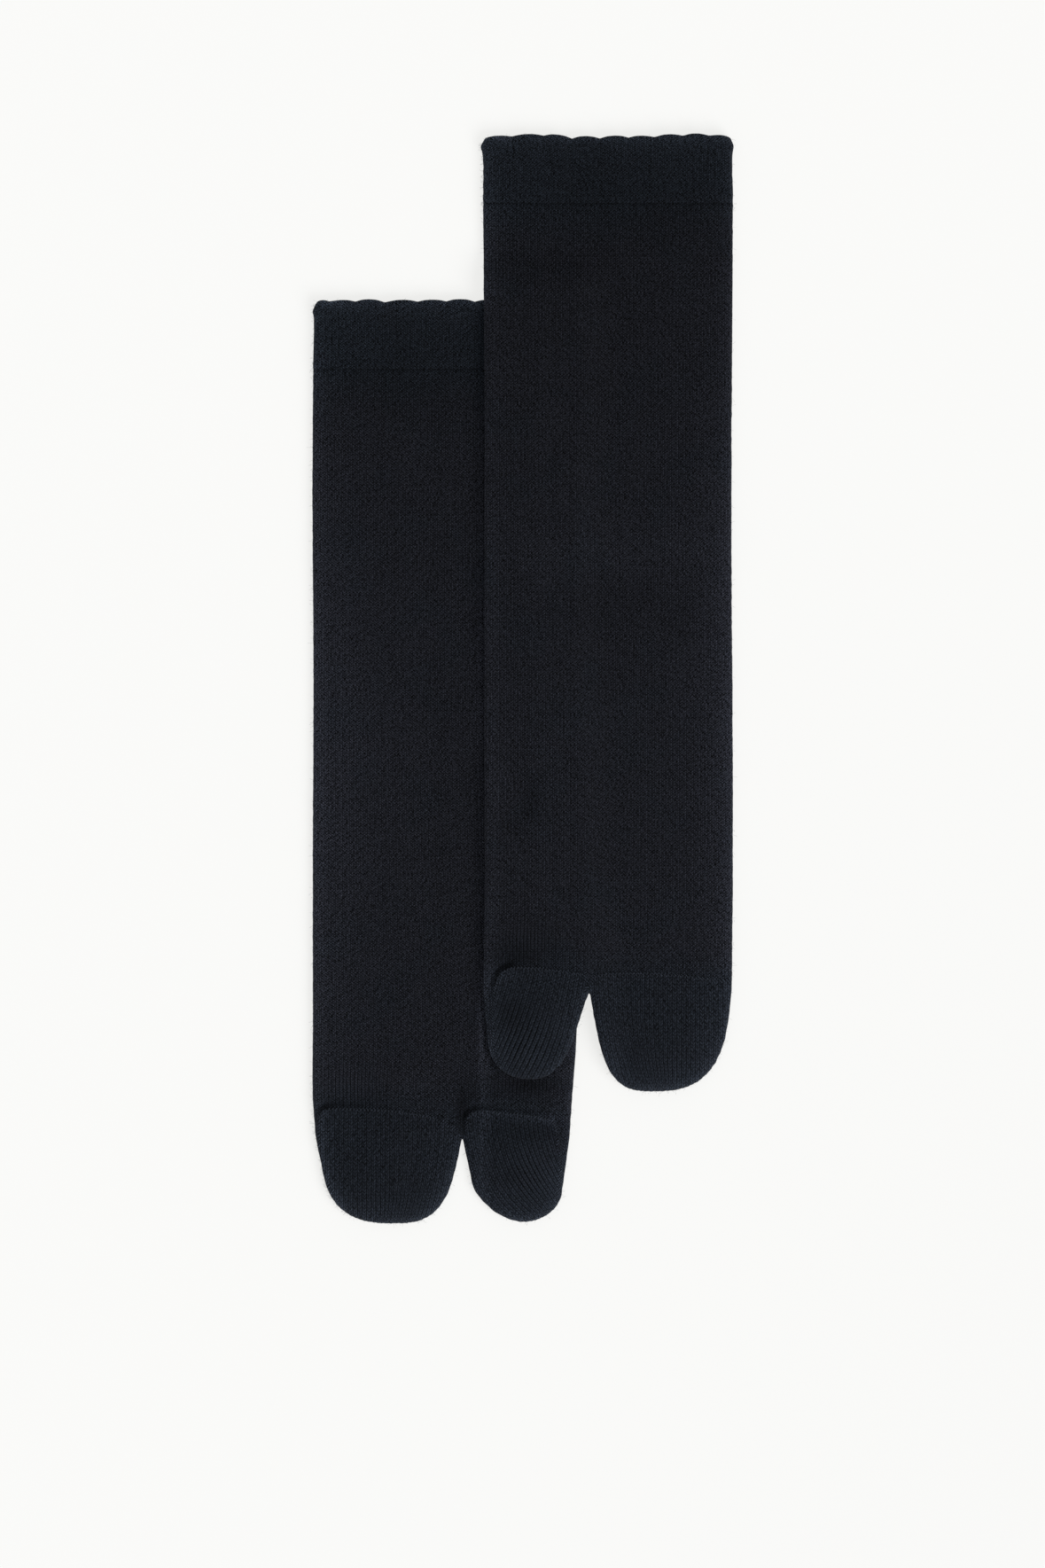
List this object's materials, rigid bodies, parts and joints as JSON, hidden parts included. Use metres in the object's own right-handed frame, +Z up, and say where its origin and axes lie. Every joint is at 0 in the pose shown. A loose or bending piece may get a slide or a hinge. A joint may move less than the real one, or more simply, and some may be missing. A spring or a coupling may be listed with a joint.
{
  "type": "pair of tabi socks",
  "caption": "Dark navy knitted split-toe socks laid flat, instep up, the left one resting partly on the right, with scalloped turned welts and linked toe seams.",
  "frame": {"origin": "under the middle of the laid-out pair, on the surface that it lies on", "axes": "+Z up out of the surface, +Y from the toes towards the cuffs, +X from the right-foot sock towards the left-foot sock that lies on it"},
  "size_m": [0.1517, 0.393, 0.0099],
  "materials": {
    "knit": "matte fine-gauge stockinette knit, dark navy, nearly black"
  },
  "bodies": {
    "root": {"sock_left_foot": "knit", "sock_right_foot": "knit"}
  },
  "joints": []
}
